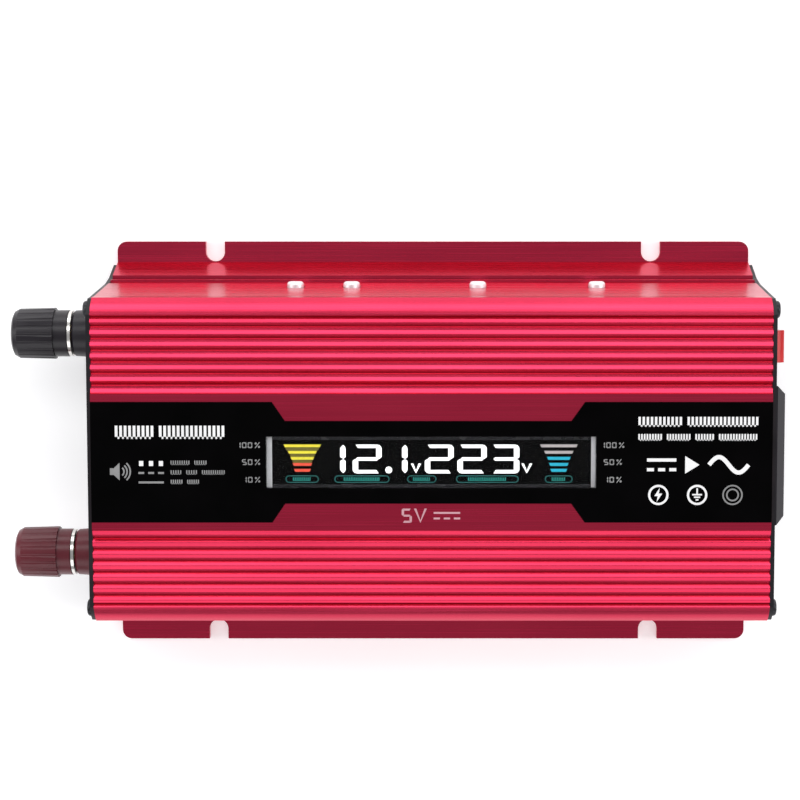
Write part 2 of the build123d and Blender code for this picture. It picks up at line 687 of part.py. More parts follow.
def switch():
    wide, tall, thick = SWITCH_BEZEL
    body_wide, body_tall, depth = SWITCH_BODY
    place = (SWITCH_Y, AXIS_HEIGHT)
    with BuildPart() as housing:
        with BuildSketch(Plane.YZ.offset(PANEL_FACE)):
            with Locations(place):
                Rectangle(wide, tall)
        extrude(amount=thick)
        chamfer(housing.edges().group_by(Axis.X)[-1], 1.4)
        with BuildSketch(Plane.YZ.offset(PANEL_FACE)):
            with Locations(place):
                Rectangle(body_wide, body_tall)
        extrude(amount=-depth)
        with BuildSketch(Plane.YZ.offset(PANEL_FACE + thick)):
            with Locations(place):
                Rectangle(ROCKER_WIDTH + 0.6, 2 * ROCKER_RADIUS + 0.6)
        extrude(amount=-(thick + depth - 1.5), mode=Mode.SUBTRACT)
        with BuildSketch(Plane.YZ.offset(PANEL_FACE - depth)):
            with Locations((SWITCH_Y, AXIS_HEIGHT - 4.5), (SWITCH_Y, AXIS_HEIGHT + 4.5)):
                Rectangle(4.9, 1.0)
        extrude(amount=1.5, mode=Mode.SUBTRACT)
    save(housing.part, "switch_housing")
    pivot = Plane(origin=(ROCKER_PIVOT_X, SWITCH_Y, AXIS_HEIGHT), x_dir=(1, 0, 0), z_dir=(0, -1, 0))
    with BuildPart() as rocker:
        with BuildSketch(pivot.rotated((0, ROCKER_TILT, 0))):
            Circle(ROCKER_RADIUS)
            with BuildLine():
                Polyline(
                    (-3.4, -12),
                    (ROCKER_LIP, -9.0),
                    (ROCKER_HOLLOW, 0),
                    (ROCKER_LIP, 9.0),
                    (-3.4, 12),
                    close=True,
                )
            make_face(mode=Mode.INTERSECT)
        extrude(amount=ROCKER_WIDTH / 2, both=True)
    save(rocker.part, "switch_rocker")
    with BuildPart() as tabs:
        with BuildSketch(Plane.YZ.offset(PANEL_FACE - depth + 2.0)):
            with Locations((SWITCH_Y, AXIS_HEIGHT - 4.5), (SWITCH_Y, AXIS_HEIGHT + 4.5)):
                Rectangle(4.7, 0.8)
        extrude(amount=-9.0)
    save(tabs.part, "switch_tabs")
    tab_end = PANEL_FACE - depth - 7.0
    lower, upper = AXIS_HEIGHT - 4.5, AXIS_HEIGHT + 4.5
    routes = [
        [(x, SWITCH_Y, z) for x, z in ((tab_end, lower), (71, lower), (63.5, 20), (63.5, BOARD_TOP))],
        [(x, SWITCH_Y, z) for x, z in ((tab_end, upper), (68, upper), (59, 26), (59, BOARD_TOP))],
    ]
    loom("switch_wires", routes, 1.4)


def usb_port():
    wide, tall = USB_SIZE
    place = (USB_Y, AXIS_HEIGHT)
    with BuildPart() as shell:
        with BuildSketch(Plane.YZ.offset(USB_REAR_X)):
            with Locations(place):
                RectangleRounded(wide, tall, 0.6)
        extrude(amount=PANEL_FACE + 0.3 - USB_REAR_X)
        with BuildSketch(Plane.YZ.offset(USB_REAR_X + 1.0)):
            with Locations(place):
                Rectangle(wide - 2 * USB_WALL, tall - 2 * USB_WALL)
        extrude(amount=20, mode=Mode.SUBTRACT)
    save(shell.part, "usb_shell")
    plate("usb_tongue", (USB_REAR_X + 1.0, PANEL_FACE - 0.8), (USB_Y - 5.6, USB_Y + 5.6), (29.2, 31.0))
    board_top = AXIS_HEIGHT - tall / 2
    plate("usb_board", (72.0, PANEL_FACE - PANEL - 0.6), (USB_Y - 8, USB_Y + 8), (board_top - 1.4, board_top))
    wire_z = board_top - 0.7
    routes = [
        [(72.0, y, wire_z), (66.5, y, wire_z), (62.0, y, 20.5), (62.0, y, BOARD_TOP)]
        for y in (USB_Y - 3, USB_Y + 3)
    ]
    loom("usb_wires", routes, 1.1)


def main_board():
    plate("main_board", BOARD_X, (-BOARD_HALF_WIDTH, BOARD_HALF_WIDTH), (BOARD_BOTTOM, BOARD_TOP))
    with BuildPart() as standoffs:
        with BuildSketch(Plane.XY.offset(FLANGE_THICKNESS)):
            with Locations(*STANDOFF_PLACES):
                RegularPolygon(3.0, 6, major_radius=False)
        extrude(amount=BOARD_BOTTOM - FLANGE_THICKNESS)
    save(standoffs.part, "board_standoffs")
    with BuildPart() as screws:
        with BuildSketch(Plane.XY.offset(BOARD_TOP)):
            with Locations(*STANDOFF_PLACES):
                Circle(2.7)
        extrude(amount=1.8)
        fillet(screws.edges().group_by(Axis.Z)[-1], 0.9)
        with BuildSketch(Plane.XY.offset(BOARD_TOP + 1.8)):
            with Locations(*STANDOFF_PLACES):
                Rectangle(3.0, 0.6)
                Rectangle(0.6, 3.0)
        extrude(amount=-1.0, mode=Mode.SUBTRACT)
    save(screws.part, "board_screws")


def transformers():
    """Two ferrite-cored step-up transformers: cores, bobbins and windings."""
    middles = [(-31.0, 0), (3.0, 0)]
    low, high = BOARD_TOP + 1.5, BOARD_TOP + 33.5
    leg_half, winding_half = 6.0, 10.5

    with BuildPart() as cores:
        with BuildSketch(Plane.XY.offset(low)):
            with Locations(*middles):
                Rectangle(15, 42)
        extrude(amount=high - low)
        with BuildSketch(Plane.XY.offset(low + 5)):
            with Locations(*middles):
                Rectangle(15, 32)
        extrude(amount=high - low - 10, mode=Mode.SUBTRACT)
        with BuildSketch(Plane.XY.offset(low)):
            with Locations(*middles):
                Rectangle(12, 2 * leg_half)
        extrude(amount=high - low)
    save(cores.part, "transformer_cores")
    with BuildPart() as bobbins:
        for bottom, thickness in ((low + 5, 1.4), (high - 6.4, 1.4)):
            with BuildSketch(Plane.XY.offset(bottom)):
                with Locations(*middles):
                    Rectangle(30, 31)
                    Rectangle(12.4, 2 * leg_half + 0.4, mode=Mode.SUBTRACT)
            extrude(amount=thickness)
        with BuildSketch(Plane.XY.offset(low + 5)):
            with Locations(*middles):
                Rectangle(15, 15)
                Rectangle(12.4, 2 * leg_half + 0.4, mode=Mode.SUBTRACT)
        extrude(amount=high - low - 10)
        with BuildSketch(Plane.XY.offset(BOARD_TOP)):
            for x, y in middles:
                with Locations((x - 12.5, y), (x + 12.5, y)):
                    Rectangle(4, 30)
        extrude(amount=6.5)
    save(bobbins.part, "transformer_bobbins")
    with BuildPart() as windings:
        with BuildSketch(Plane.XY.offset(low + 6.4)):
            with Locations(*middles):
                RectangleRounded(27, 28, 5)
                Rectangle(15, 15, mode=Mode.SUBTRACT)
        extrude(amount=high - low - 12.8)
    save(windings.part, "transformer_windings")


def cans(name, places, radius, height):
    """Upright electrolytic cans with a crimp groove near the base."""
    with BuildPart() as group:
        with BuildSketch(Plane.XY.offset(BOARD_TOP)):
            with Locations(*places):
                Circle(radius)
        extrude(amount=height)
        fillet(group.edges().group_by(Axis.Z)[-1], 0.8)
        with BuildSketch(Plane.XY.offset(BOARD_TOP + 2.0)):
            with Locations(*places):
                Circle(radius)
                Circle(radius - 0.5, mode=Mode.SUBTRACT)
        extrude(amount=1.2, mode=Mode.SUBTRACT)
    save(group.part, name)


def power_devices(name, way):
    """A row of three-legged transistors with their backs to one side wall."""
    middle_y = way * (DEVICE_BACK + DEVICE_FRONT) / 2
    with BuildPart() as devices:
        with BuildSketch(Plane.XY.offset(18.0)):
            with Locations(*[(x, middle_y) for x in DEVICE_X]):
                Rectangle(10.0, DEVICE_BACK - DEVICE_FRONT)
        extrude(amount=9.5)
        with BuildSketch(Plane.XY.offset(18.0)):
            with Locations(*[(x, way * (DEVICE_BACK - 0.65)) for x in DEVICE_X]):
                Rectangle(10.0, 1.3)
        extrude(amount=15.0)
        with BuildSketch(Plane.XY.offset(18.0)):
            legs = [(x + step, middle_y) for x in DEVICE_X for step in (-2.54, 0, 2.54)]
            with Locations(*legs):
                Rectangle(0.8, 0.6)
        extrude(amount=BOARD_TOP - 18.0)
    save(devices.part, name)


def wall_hardware():
    """Insulating pads and clamp bars on both side walls."""
    with BuildPart() as pads:
        for way in (-1, 1):
            for low, high in BAR_SPANS:
                with BuildSketch(Plane.XY.offset(18.2)):
                    with Locations(((low + high) / 2, way * (WALL_INNER - PAD_THICKNESS / 2))):
                        Rectangle(high - low, PAD_THICKNESS)
                extrude(amount=16.0)
        with BuildSketch(Plane.XZ.offset(-60)):
            with Locations(*[(x, AXIS_HEIGHT) for x in SIDE_SCREW_X]):
                Circle(1.7)
        extrude(amount=120, mode=Mode.SUBTRACT)
    save(pads.part, "insulating_pads")
    with BuildPart() as bars:
        for way in (-1, 1):
            for low, high in BAR_SPANS:
                with BuildSketch(Plane.XY.offset(21.0)):
                    with Locations(((low + high) / 2, way * (DEVICE_FRONT - BAR_THICKNESS / 2))):
                        Rectangle(high - low, BAR_THICKNESS)
                extrude(amount=12.0)
        with BuildSketch(Plane.XZ.offset(-60)):
            with Locations(*[(x, AXIS_HEIGHT) for x in SIDE_SCREW_X]):
                Circle(1.5)
        extrude(amount=120, mode=Mode.SUBTRACT)
    save(bars.part, "clamp_bars")


def small_parts():
    with BuildPart() as fuses:
        with BuildSketch(Plane.XY.offset(BOARD_TOP)):
            with Locations((-52.5, -11), (-52.5, 11)):
                Rectangle(4.6, 18.5)
        extrude(amount=12.0)
        with BuildSketch(Plane.XY.offset(BOARD_TOP + 12.0)):
            with Locations((-52.5, -11), (-52.5, 11)):
                Rectangle(3.6, 19.2)
        extrude(amount=6.0)
    save(fuses.part, "blade_fuses")
    with BuildPart() as choke:
        with BuildSketch(Plane.YZ.offset(38.0)):
            with Locations((18.5, BOARD_TOP + 11.0)):
                Circle(11.0)
                Circle(4.8, mode=Mode.SUBTRACT)
        extrude(amount=9.0)
        fillet(choke.edges().filter_by(GeomType.CIRCLE), 1.8)
    save(choke.part, "output_choke")
    plate("driver_board", (25.2, 26.8), (-18, 18), (BOARD_TOP, BOARD_TOP + 22))
    with BuildPart() as buzzer:
        with BuildSketch(Plane.XY.offset(BOARD_TOP)):
            with Locations((48.0, -2.0)):
                Circle(4.8)
        extrude(amount=7.0)
        with BuildSketch(Plane.XY.offset(BOARD_TOP + 7.0)):
            with Locations((48.0, -2.0)):
                Circle(1.0)
        extrude(amount=-2.0, mode=Mode.SUBTRACT)
    save(buzzer.part, "buzzer")


base_tray()
top_cover()
dc_end_panel()
ac_end_panel()
panel_screws("dc_panel_screws", -1)
panel_screws("ac_panel_screws", 1)
side_clamp_screws()
face_label()
display()
terminal("negative", NEGATIVE_Y)
terminal("positive", POSITIVE_Y)
terminal_hardware()
fan()
socket()
switch()
usb_port()
main_board()
transformers()
cans("input_capacitors", [(-68.0, y) for y in (-18.0, 0.0, 18.0)], 8.0, 25.0)
cans("bus_capacitor", [(45.0, -22.0)], 11.0, 30.0)
power_devices("low_voltage_mosfets", 1)
power_devices("high_voltage_mosfets", -1)
wall_hardware()
small_parts()
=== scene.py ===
import json
import math

import bmesh
import bpy
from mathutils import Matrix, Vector


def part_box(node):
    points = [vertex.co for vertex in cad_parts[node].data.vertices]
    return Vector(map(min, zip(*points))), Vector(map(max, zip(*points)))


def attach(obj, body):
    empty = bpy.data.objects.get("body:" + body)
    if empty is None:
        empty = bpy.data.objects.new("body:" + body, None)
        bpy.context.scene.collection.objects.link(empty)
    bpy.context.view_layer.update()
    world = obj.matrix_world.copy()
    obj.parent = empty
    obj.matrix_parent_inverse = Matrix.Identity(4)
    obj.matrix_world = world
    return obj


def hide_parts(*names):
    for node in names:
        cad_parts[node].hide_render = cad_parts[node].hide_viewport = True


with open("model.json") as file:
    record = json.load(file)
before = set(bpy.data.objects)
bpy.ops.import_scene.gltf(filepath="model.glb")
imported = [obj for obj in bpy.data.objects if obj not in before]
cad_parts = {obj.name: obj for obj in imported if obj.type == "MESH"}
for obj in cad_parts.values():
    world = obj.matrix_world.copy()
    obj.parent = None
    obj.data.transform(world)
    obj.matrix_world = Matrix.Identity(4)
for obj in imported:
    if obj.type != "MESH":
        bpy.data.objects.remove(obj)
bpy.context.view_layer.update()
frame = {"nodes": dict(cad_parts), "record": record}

MM = 0.001
CHASSIS = "chassis"
PRINT_THICKNESS = 0.03 * MM
SEGMENT_THICKNESS = 0.05 * MM
COVER_THICKNESS = 0.5 * MM
FLOOR_DROP = 0.0002
CASE_MIDDLE = (0, 0, 0.04)
CASE_LOWER = (0, 0, 0.03)


# ---------------------------------------------------------------- materials

def new_material(name):
    """A node material with one shader, ready for its colour and grain."""
    material = bpy.data.materials.new(name)
    material.use_nodes = True
    tree = material.node_tree
    tree.nodes.clear()
    output = tree.nodes.new("ShaderNodeOutputMaterial")
    shader = tree.nodes.new("ShaderNodeBsdfPrincipled")
    tree.links.new(shader.outputs["BSDF"], output.inputs["Surface"])
    return material, tree, shader


def noise(tree, scale, stretch=(1, 1, 1), detail=4.0):
    """Noise over the object's own coordinates; scale is in features per metre."""
    coords = tree.nodes.new("ShaderNodeTexCoord")
    mapping = tree.nodes.new("ShaderNodeMapping")
    mapping.inputs["Scale"].default_value = stretch
    texture = tree.nodes.new("ShaderNodeTexNoise")
    texture.inputs["Scale"].default_value = scale
    texture.inputs["Detail"].default_value = detail
    tree.links.new(coords.outputs["Object"], mapping.inputs["Vector"])
    tree.links.new(mapping.outputs["Vector"], texture.inputs["Vector"])
    return texture.outputs["Fac"]


def ramp(tree, source, low, high, low_at=0.3, high_at=0.7):
    """Blend between two colours as source goes from low_at to high_at."""
    node = tree.nodes.new("ShaderNodeValToRGB")
    node.color_ramp.elements[0].position = low_at
    node.color_ramp.elements[1].position = high_at
    node.color_ramp.elements[0].color = (*low, 1)
    node.color_ramp.elements[1].color = (*high, 1)
    tree.links.new(source, node.inputs["Fac"])
    return node.outputs["Color"]


def spread(tree, source, low, high):
    """Map a noise value to a range of roughness."""
    node = tree.nodes.new("ShaderNodeMapRange")
    node.inputs["From Min"].default_value = 0.3
    node.inputs["From Max"].default_value = 0.7
    node.inputs["To Min"].default_value = low
    node.inputs["To Max"].default_value = high
    tree.links.new(source, node.inputs["Value"])
    return node.outputs["Result"]


def bump(tree, shader, source, strength, distance, below=None):
    node = tree.nodes.new("ShaderNodeBump")
    node.inputs["Strength"].default_value = strength
    node.inputs["Distance"].default_value = distance
    tree.links.new(source, node.inputs["Height"])
    if below:
        tree.links.new(below, node.inputs["Normal"])
    tree.links.new(node.outputs["Normal"], shader.inputs["Normal"])
    return node.outputs["Normal"]


def finish_material(
    name, low, high, metallic=0.0, roughness=(0.3, 0.5), grain=2500, stretch=(1, 1, 1),
    relief=0.1, relief_mm=0.02, coat=0.0, coat_roughness=0.1, specular=0.5,
):
    """Colour drift, patchy roughness and fine relief from two sizes of noise."""
    material, tree, shader = new_material(name)
    fine = noise(tree, grain, stretch)
    patches = noise(tree, 90, (1, 1, 1), 3.0)
    tree.links.new(ramp(tree, patches, low, high), shader.inputs["Base Color"])
    tree.links.new(spread(tree, patches, *roughness), shader.inputs["Roughness"])
    bump(tree, shader, fine, relief, relief_mm * MM)
    shader.inputs["Metallic"].default_value = metallic
    shader.inputs["Coat Weight"].default_value = coat
    shader.inputs["Coat Roughness"].default_value = coat_roughness
    shader.inputs["Specular IOR Level"].default_value = specular
    return material


def anodised_aluminium(name, low, high, line_relief):
    """Dyed extrusion: die lines along X over a fine etched grain."""
    material, tree, shader = new_material(name)
    patches = noise(tree, 60, (0.35, 1, 1), 3.0)
    lines = noise(tree, 1.0, (18, 2600, 2600), 3.0)
    etch = noise(tree, 9000, (1, 1, 1), 2.0)
    tree.links.new(ramp(tree, patches, low, high), shader.inputs["Base Color"])
    tree.links.new(spread(tree, lines, 0.2, 0.3), shader.inputs["Roughness"])
    grain = bump(tree, shader, etch, 0.06, 0.01 * MM)
    bump(tree, shader, lines, line_relief, 0.01 * MM, grain)
    shader.inputs["Metallic"].default_value = 1.0
    return material


def glowing(name, color, strength):
    """A lit display segment with slightly uneven brightness."""
    material, tree, shader = new_material(name)
    glow = noise(tree, 700, (1, 1, 1), 2.0)
    dim = tuple(channel * 0.88 for channel in color)
    shade = ramp(tree, glow, dim, color)
    tree.links.new(shade, shader.inputs["Base Color"])
    tree.links.new(shade, shader.inputs["Emission Color"])
    shader.inputs["Emission Strength"].default_value = strength
    shader.inputs["Roughness"].default_value = 0.5
    return material


def clear_sheet(name):
    material, tree, shader = new_material(name)
    smears = noise(tree, 160, (1, 1, 1), 3.0)
    tree.links.new(spread(tree, smears, 0.03, 0.08), shader.inputs["Roughness"])
    shader.inputs["Base Color"].default_value = (0.98, 0.985, 0.99, 1)
    shader.inputs["Transmission Weight"].default_value = 1.0
    shader.inputs["IOR"].default_value = 1.12
    return material


def circuit_board(name):
    """Green solder mask with copper tracks showing through it."""
    material, tree, shader = new_material(name)
    coords = tree.nodes.new("ShaderNodeTexCoord")
    tracks = tree.nodes.new("ShaderNodeTexBrick")
    tracks.inputs["Scale"].default_value = 160
    tracks.inputs["Mortar Size"].default_value = 0.035
    tracks.inputs["Color1"].default_value = (0.012, 0.13, 0.045, 1)
    tracks.inputs["Color2"].default_value = (0.016, 0.17, 0.06, 1)
    tracks.inputs["Mortar"].default_value = (0.05, 0.3, 0.12, 1)
    tree.links.new(coords.outputs["Object"], tracks.inputs["Vector"])
    tree.links.new(tracks.outputs["Color"], shader.inputs["Base Color"])
    bump(tree, shader, tracks.outputs["Fac"], 0.3, 0.03 * MM)
    tree.links.new(spread(tree, noise(tree, 400), 0.22, 0.38), shader.inputs["Roughness"])
    return material


def copper_turns(name, axis_stretch):
    """Enamelled wire laid in close turns."""
    material, tree, shader = new_material(name)
    turns = noise(tree, 1.0, axis_stretch, 1.0)
    tree.links.new(ramp(tree, turns, (0.28, 0.07, 0.02), (0.75, 0.28, 0.1)), shader.inputs["Base Color"])
    bump(tree, shader, turns, 0.6, 0.2 * MM)
    shader.inputs["Metallic"].default_value = 0.9
    shader.inputs["Roughness"].default_value = 0.3
    shader.inputs["Coat Weight"].default_value = 0.5
    return material


MATERIALS = {
    "anodised_red": anodised_aluminium("anodised_red", (0.57, 0.029, 0.074), (0.63, 0.035, 0.084), 0.1),
    "panel_black": finish_material(
        "panel_black", (0.007, 0.006, 0.008), (0.012, 0.01, 0.013), 0.0, (0.38, 0.5), 2600, relief=0.35,
        relief_mm=0.03,
        specular=0.25,
    ),
    "screw_black": finish_material(
        "screw_black", (0.03, 0.03, 0.033), (0.06, 0.06, 0.065), 1.0, (0.25, 0.4), 3000, relief=0.1
    ),
    "screw_bright": finish_material(
        "screw_bright", (0.8, 0.8, 0.81), (0.9, 0.9, 0.91), 1.0, (0.42, 0.55), 3000, relief=0.08
    ),
    "label_black": finish_material(
        "label_black", (0.0, 0.0, 0.0), (0.0006, 0.0004, 0.0006), 0.0, (0.12, 0.2), 1500, relief=0.03,
        specular=0.06
    ),
    "lcd_dark": finish_material(
        "lcd_dark", (0.0, 0.0, 0.0), (0.0012, 0.001, 0.0012), 0.0, (0.1, 0.18), 1500, relief=0.02,
        specular=0.1
    ),
    "window_clear": clear_sheet("window_clear"),
    "backlight_white": finish_material("backlight_white", (0.8, 0.83, 0.86), (0.9, 0.92, 0.95), relief=0.05),
    "plastic_black": finish_material(
        "plastic_black", (0.007, 0.005, 0.008), (0.012, 0.009, 0.014), 0.0, (0.26, 0.38), 3500, relief=0.2,
        relief_mm=0.02,
        specular=0.4,
    ),
    "plastic_wine": finish_material(
        "plastic_wine", (0.095, 0.008, 0.015), (0.13, 0.013, 0.023), 0.0, (0.26, 0.38), 3500, relief=0.2,
        relief_mm=0.02,
        specular=0.4,
    ),
    "rocker_red": finish_material(
        "rocker_red", (0.5, 0.006, 0.008), (0.6, 0.01, 0.012), 0.0, (0.2, 0.3), 1800, relief=0.04,
        specular=0.4
    ),
    "brass": finish_material(
        "brass", (0.62, 0.42, 0.16), (0.78, 0.56, 0.26), 1.0, (0.18, 0.36), 1.0, (3000, 60, 60)
    ),
    "nickel": finish_material(
        "nickel", (0.68, 0.66, 0.62), (0.8, 0.78, 0.75), 1.0, (0.12, 0.28), 2500, relief=0.06
    ),
    "tinned": finish_material(
        "tinned", (0.6, 0.6, 0.6), (0.76, 0.76, 0.75), 1.0, (0.3, 0.5), 900, relief=0.3
    ),
    "copper": copper_turns("copper", (60, 60, 2600)),
    "steel_plain": finish_material(
        "steel_plain", (0.45, 0.45, 0.46), (0.6, 0.6, 0.62), 1.0, (0.25, 0.45), 1.0, (40, 2500, 2500)
    ),
    "wire_red": finish_material(
        "wire_red", (0.42, 0.01, 0.01), (0.55, 0.02, 0.015), 0.0, (0.4, 0.55), 1500, relief=0.12
    ),
    "wire_black": finish_material(
        "wire_black", (0.012, 0.012, 0.013), (0.022, 0.022, 0.024), 0.0, (0.4, 0.55), 1500, relief=0.12
    ),
    "circuit_green": circuit_board("circuit_green"),
    "ribbon_grey": finish_material(
        "ribbon_grey", (0.32, 0.32, 0.34), (0.5, 0.5, 0.52), 0.0, (0.4, 0.5), 1.0, (60, 1600, 60), 0.5, 0.2
    ),
    "ferrite": finish_material(
        "ferrite", (0.03, 0.03, 0.034), (0.06, 0.058, 0.06), 0.0, (0.5, 0.75), 1800, relief=0.5,
        relief_mm=0.05
    ),
    "can_sleeve": finish_material(
        "can_sleeve", (0.012, 0.02, 0.07), (0.02, 0.03, 0.1), 0.0, (0.18, 0.28), 700, relief=0.08
    ),
    "device_black": finish_material(
        "device_black", (0.012, 0.012, 0.013), (0.025, 0.025, 0.026), 0.0, (0.45, 0.65), 4000, relief=0.4
    ),
    "pad_grey": finish_material(
        "pad_grey", (0.36, 0.37, 0.39), (0.48, 0.49, 0.5), 0.0, (0.6, 0.8), 2200, relief=0.3
    ),
    "fuse_orange": finish_material(
        "fuse_orange", (0.75, 0.16, 0.015), (0.9, 0.25, 0.03), 0.0, (0.15, 0.25), 800, relief=0.05
    ),
}

PRINT_WHITE = finish_material("print_white", (0.78, 0.78, 0.78), (0.86, 0.86, 0.86), relief=0.1)
PRINT_GREY = finish_material("print_grey", (0.2, 0.2, 0.2), (0.27, 0.27, 0.27), relief=0.1)
PRINT_PALE = finish_material("print_pale", (0.5, 0.26, 0.3), (0.6, 0.34, 0.38), relief=0.1)
LCD_WHITE = glowing("lcd_white", (1.0, 1.0, 1.0), 0.9)
LCD_YELLOW = glowing("lcd_yellow", (0.72, 0.64, 0.04), 0.45)
LCD_OLIVE = glowing("lcd_olive", (0.12, 0.1, 0.01), 0.5)
LCD_RED = glowing("lcd_red", (0.7, 0.07, 0.035), 0.5)
LCD_CYAN = glowing("lcd_cyan", (0.01, 0.36, 0.5), 0.5)
LCD_SILVER = glowing("lcd_silver", (0.36, 0.33, 0.33), 0.6)
LCD_TEAL = glowing("lcd_teal", (0.005, 0.09, 0.085), 0.6)
LCD_TEAL_LIT = glowing("lcd_teal_lit", (0.008, 0.2, 0.17), 0.6)
BEZEL_LIGHT = finish_material(
    "bezel_light", (0.6, 0.6, 0.61), (0.72, 0.72, 0.73), relief=0.05, roughness=(0.2, 0.3)
)
BEZEL_DARK = finish_material(
    "bezel_dark", (0.016, 0.016, 0.018), (0.022, 0.022, 0.025), relief=0.05, roughness=(0.2, 0.3)
)


def dress_cad_nodes():
    """Give every carried-over CAD node the material of its slot in the record."""
    slots = {part["node"]: part["material_slot"] for part in frame["record"]["subparts"]}
    for node, slot in slots.items():
        obj = frame["nodes"][node]
        obj = obj if isinstance(obj, bpy.types.Object) else bpy.data.objects[node]
        obj.data.materials.clear()
        obj.data.materials.append(MATERIALS[slot])


# ---------------------------------------------------------------- flat marks

def add_piece(name, mesh, material, body=CHASSIS):
    """Turn a finished mesh into a piece that rides on a body."""
    piece = bpy.data.objects.new(name, mesh)
    bpy.context.scene.collection.objects.link(piece)
    mesh.materials.append(material)
    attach(piece, body)
    return piece


def flat_marks(name, outlines, low, high, material):
    """Thin raised marks: each outline is a closed list of (x, y) in millimetres."""
    mesh = bpy.data.meshes.new(name)
    shape = bmesh.new()
    for outline in outlines:
        under = [shape.verts.new((x * MM, y * MM, low)) for x, y in outline]
        over = [shape.verts.new((x * MM, y * MM, high)) for x, y in outline]
        shape.faces.new(list(reversed(under)))
        shape.faces.new(over)
        for i, vertex in enumerate(under):
            j = (i + 1) % len(under)
            shape.faces.new((vertex, under[j], over[j], over[i]))
    bmesh.ops.recalc_face_normals(shape, faces=shape.faces)
    shape.to_mesh(mesh)
    shape.free()
    return add_piece(name, mesh, material)


def box(x0, x1, y0, y1):
    return [(x0, y0), (x1, y0), (x1, y1), (x0, y1)]


def disc(x, y, radius, points=24):
    turns = [2 * math.pi * i / points for i in range(points)]
    return [(x + radius * math.cos(a), y + radius * math.sin(a)) for a in turns]


def arc_band(x, y, outer, inner, start, end, points=24):
    """A curved band between two radii, from start to end degrees."""
    angles = [math.radians(start + (end - start) * i / points) for i in range(points + 1)]
    outside = [(x + outer * math.cos(a), y + outer * math.sin(a)) for a in angles]
    inside = [(x + inner * math.cos(a), y + inner * math.sin(a)) for a in reversed(angles)]
    return outside + inside


def ring(x, y, outer, inner):
    return [arc_band(x, y, outer, inner, 0, 180), arc_band(x, y, outer, inner, 180, 360)]


def bar_between(start, end, width):
    """A straight stroke between two points."""
    (x0, y0), (x1, y1) = start, end
    length = math.hypot(x1 - x0, y1 - y0)
    nx, ny = -(y1 - y0) / length * width / 2, (x1 - x0) / length * width / 2
    return [(x0 + nx, y0 + ny), (x0 - nx, y0 - ny), (x1 - nx, y1 - ny), (x1 + nx, y1 + ny)]


SEGMENTS = {
    "0": "abcdef", "1": "bc", "2": "abged", "3": "abgcd", "5": "afgcd",
}


def digit(char, x, y, width, height, upright, level):
    """One seven-segment digit with mitred ends; x, y is its lower left corner."""
    middle, gap, cut = height / 2, 0.06 * height / 8, upright * 0.55
    shapes = {
        "a": [
            (cut, height), (width - cut, height), (width - upright, height - level), (upright, height - level)
        ],
        "d": [(upright, level), (width - upright, level), (width - cut, 0), (cut, 0)],
        "g": [
            (cut, middle), (cut + level / 2, middle + level / 2),
            (width - cut - level / 2, middle + level / 2),
            (width - cut, middle), (width - cut - level / 2, middle - level / 2),
            (cut + level / 2, middle - level / 2),
        ],
        "f": [
            (0, middle + cut * 0.6), (upright * 0.45, middle + gap), (upright, middle + level * 0.6),
            (upright, height - level - gap), (cut * 0.8, height - gap), (0, height - cut),
        ],
    }
    shapes["b"] = [(width - px, py) for px, py in shapes["f"]]
    shapes["e"] = [(px, height - py) for px, py in shapes["f"]]
    shapes["c"] = [(width - px, height - py) for px, py in shapes["f"]]
    return [[(x + px, y + py) for px, py in shapes[part]] for part in SEGMENTS[char]]


def chevron(x, y, width, height, stroke):
    """A small down-pointing mark beside a reading."""
    foot = (x + width / 2, y)
    return [
        [(x, y + height), (x + stroke, y + height), (foot[0], foot[1] + stroke), foot],
        [(x + width - stroke, y + height), (x + width, y + height), foot, (foot[0], foot[1] + stroke)],
    ]


def percent_scale(text, right, middle, height=1.7):
    """A small number followed by a per-cent mark, ending at x = right."""
    advance, width = 1.7, 1.35
    start = right - 2.0 - advance * len(text)
    marks = []
    for place, char in enumerate(text):
        marks += digit(char, start + place * advance, middle - height / 2, width, height, 0.34, 0.3)
    left = right - 1.7
    marks.append(bar_between((left + 0.15, middle - height / 2), (left + 1.45, middle + height / 2), 0.26))
    marks += [disc(left + 0.35, middle + 0.5, 0.32, 12), disc(left + 1.3, middle - 0.5, 0.32, 12)]
    return marks


def word_ticks(x0, x1, y, height, words, tick=0.42, pitch=0.78):
    """A line of plain upright ticks broken into words, standing in for a line of print."""
    gap = 1.1
    total = x1 - x0 - gap * (len(words) - 1)
    marks, x = [], x0
    for share in words:
        length = total * share / sum(words)
        count = max(2, int(length / pitch))
        for i in range(count):
            left = x + i * length / count
            marks.append(box(left, left + tick, y - height / 2, y + height / 2))
        marks.append(
            box(x, x + length - (length / count - tick), y - height / 2, y - height / 2 + height * 0.16)
        )
        x += length + gap
    return marks


def funnel_bar(x, half_width, y, thickness):
    inset = thickness * 0.45
    return [
        (x - half_width, y + thickness / 2), (x - half_width + inset, y - thickness / 2),
        (x + half_width - inset, y - thickness / 2), (x + half_width, y + thickness / 2),
    ]


def pill(x0, x1, y, height, line):
    """Outline of a stadium as two C-shaped halves."""
    radius, middle = height / 2, (x0 + x1) / 2
    right = arc_band(x1 - radius, y, radius, radius - line, -90, 90, 10)
    left = arc_band(x0 + radius, y, radius, radius - line, 90, 270, 10)
    top = box(x0 + radius, x1 - radius, y + radius - line, y + radius)
    bottom = box(x0 + radius, x1 - radius, y - radius, y - radius + line)
    return [right, left, top, bottom]


def direct_sign(x, y, length, stroke):
    """The sign for direct current: one line over three dashes."""
    dash = length / 4.2
    marks = [box(x, x + length, y + stroke, y + 2 * stroke)]
    for i in range(3):
        left = x + i * (length - dash) / 2
        marks.append(box(left, left + dash, y - 2 * stroke, y - stroke))
    return marks


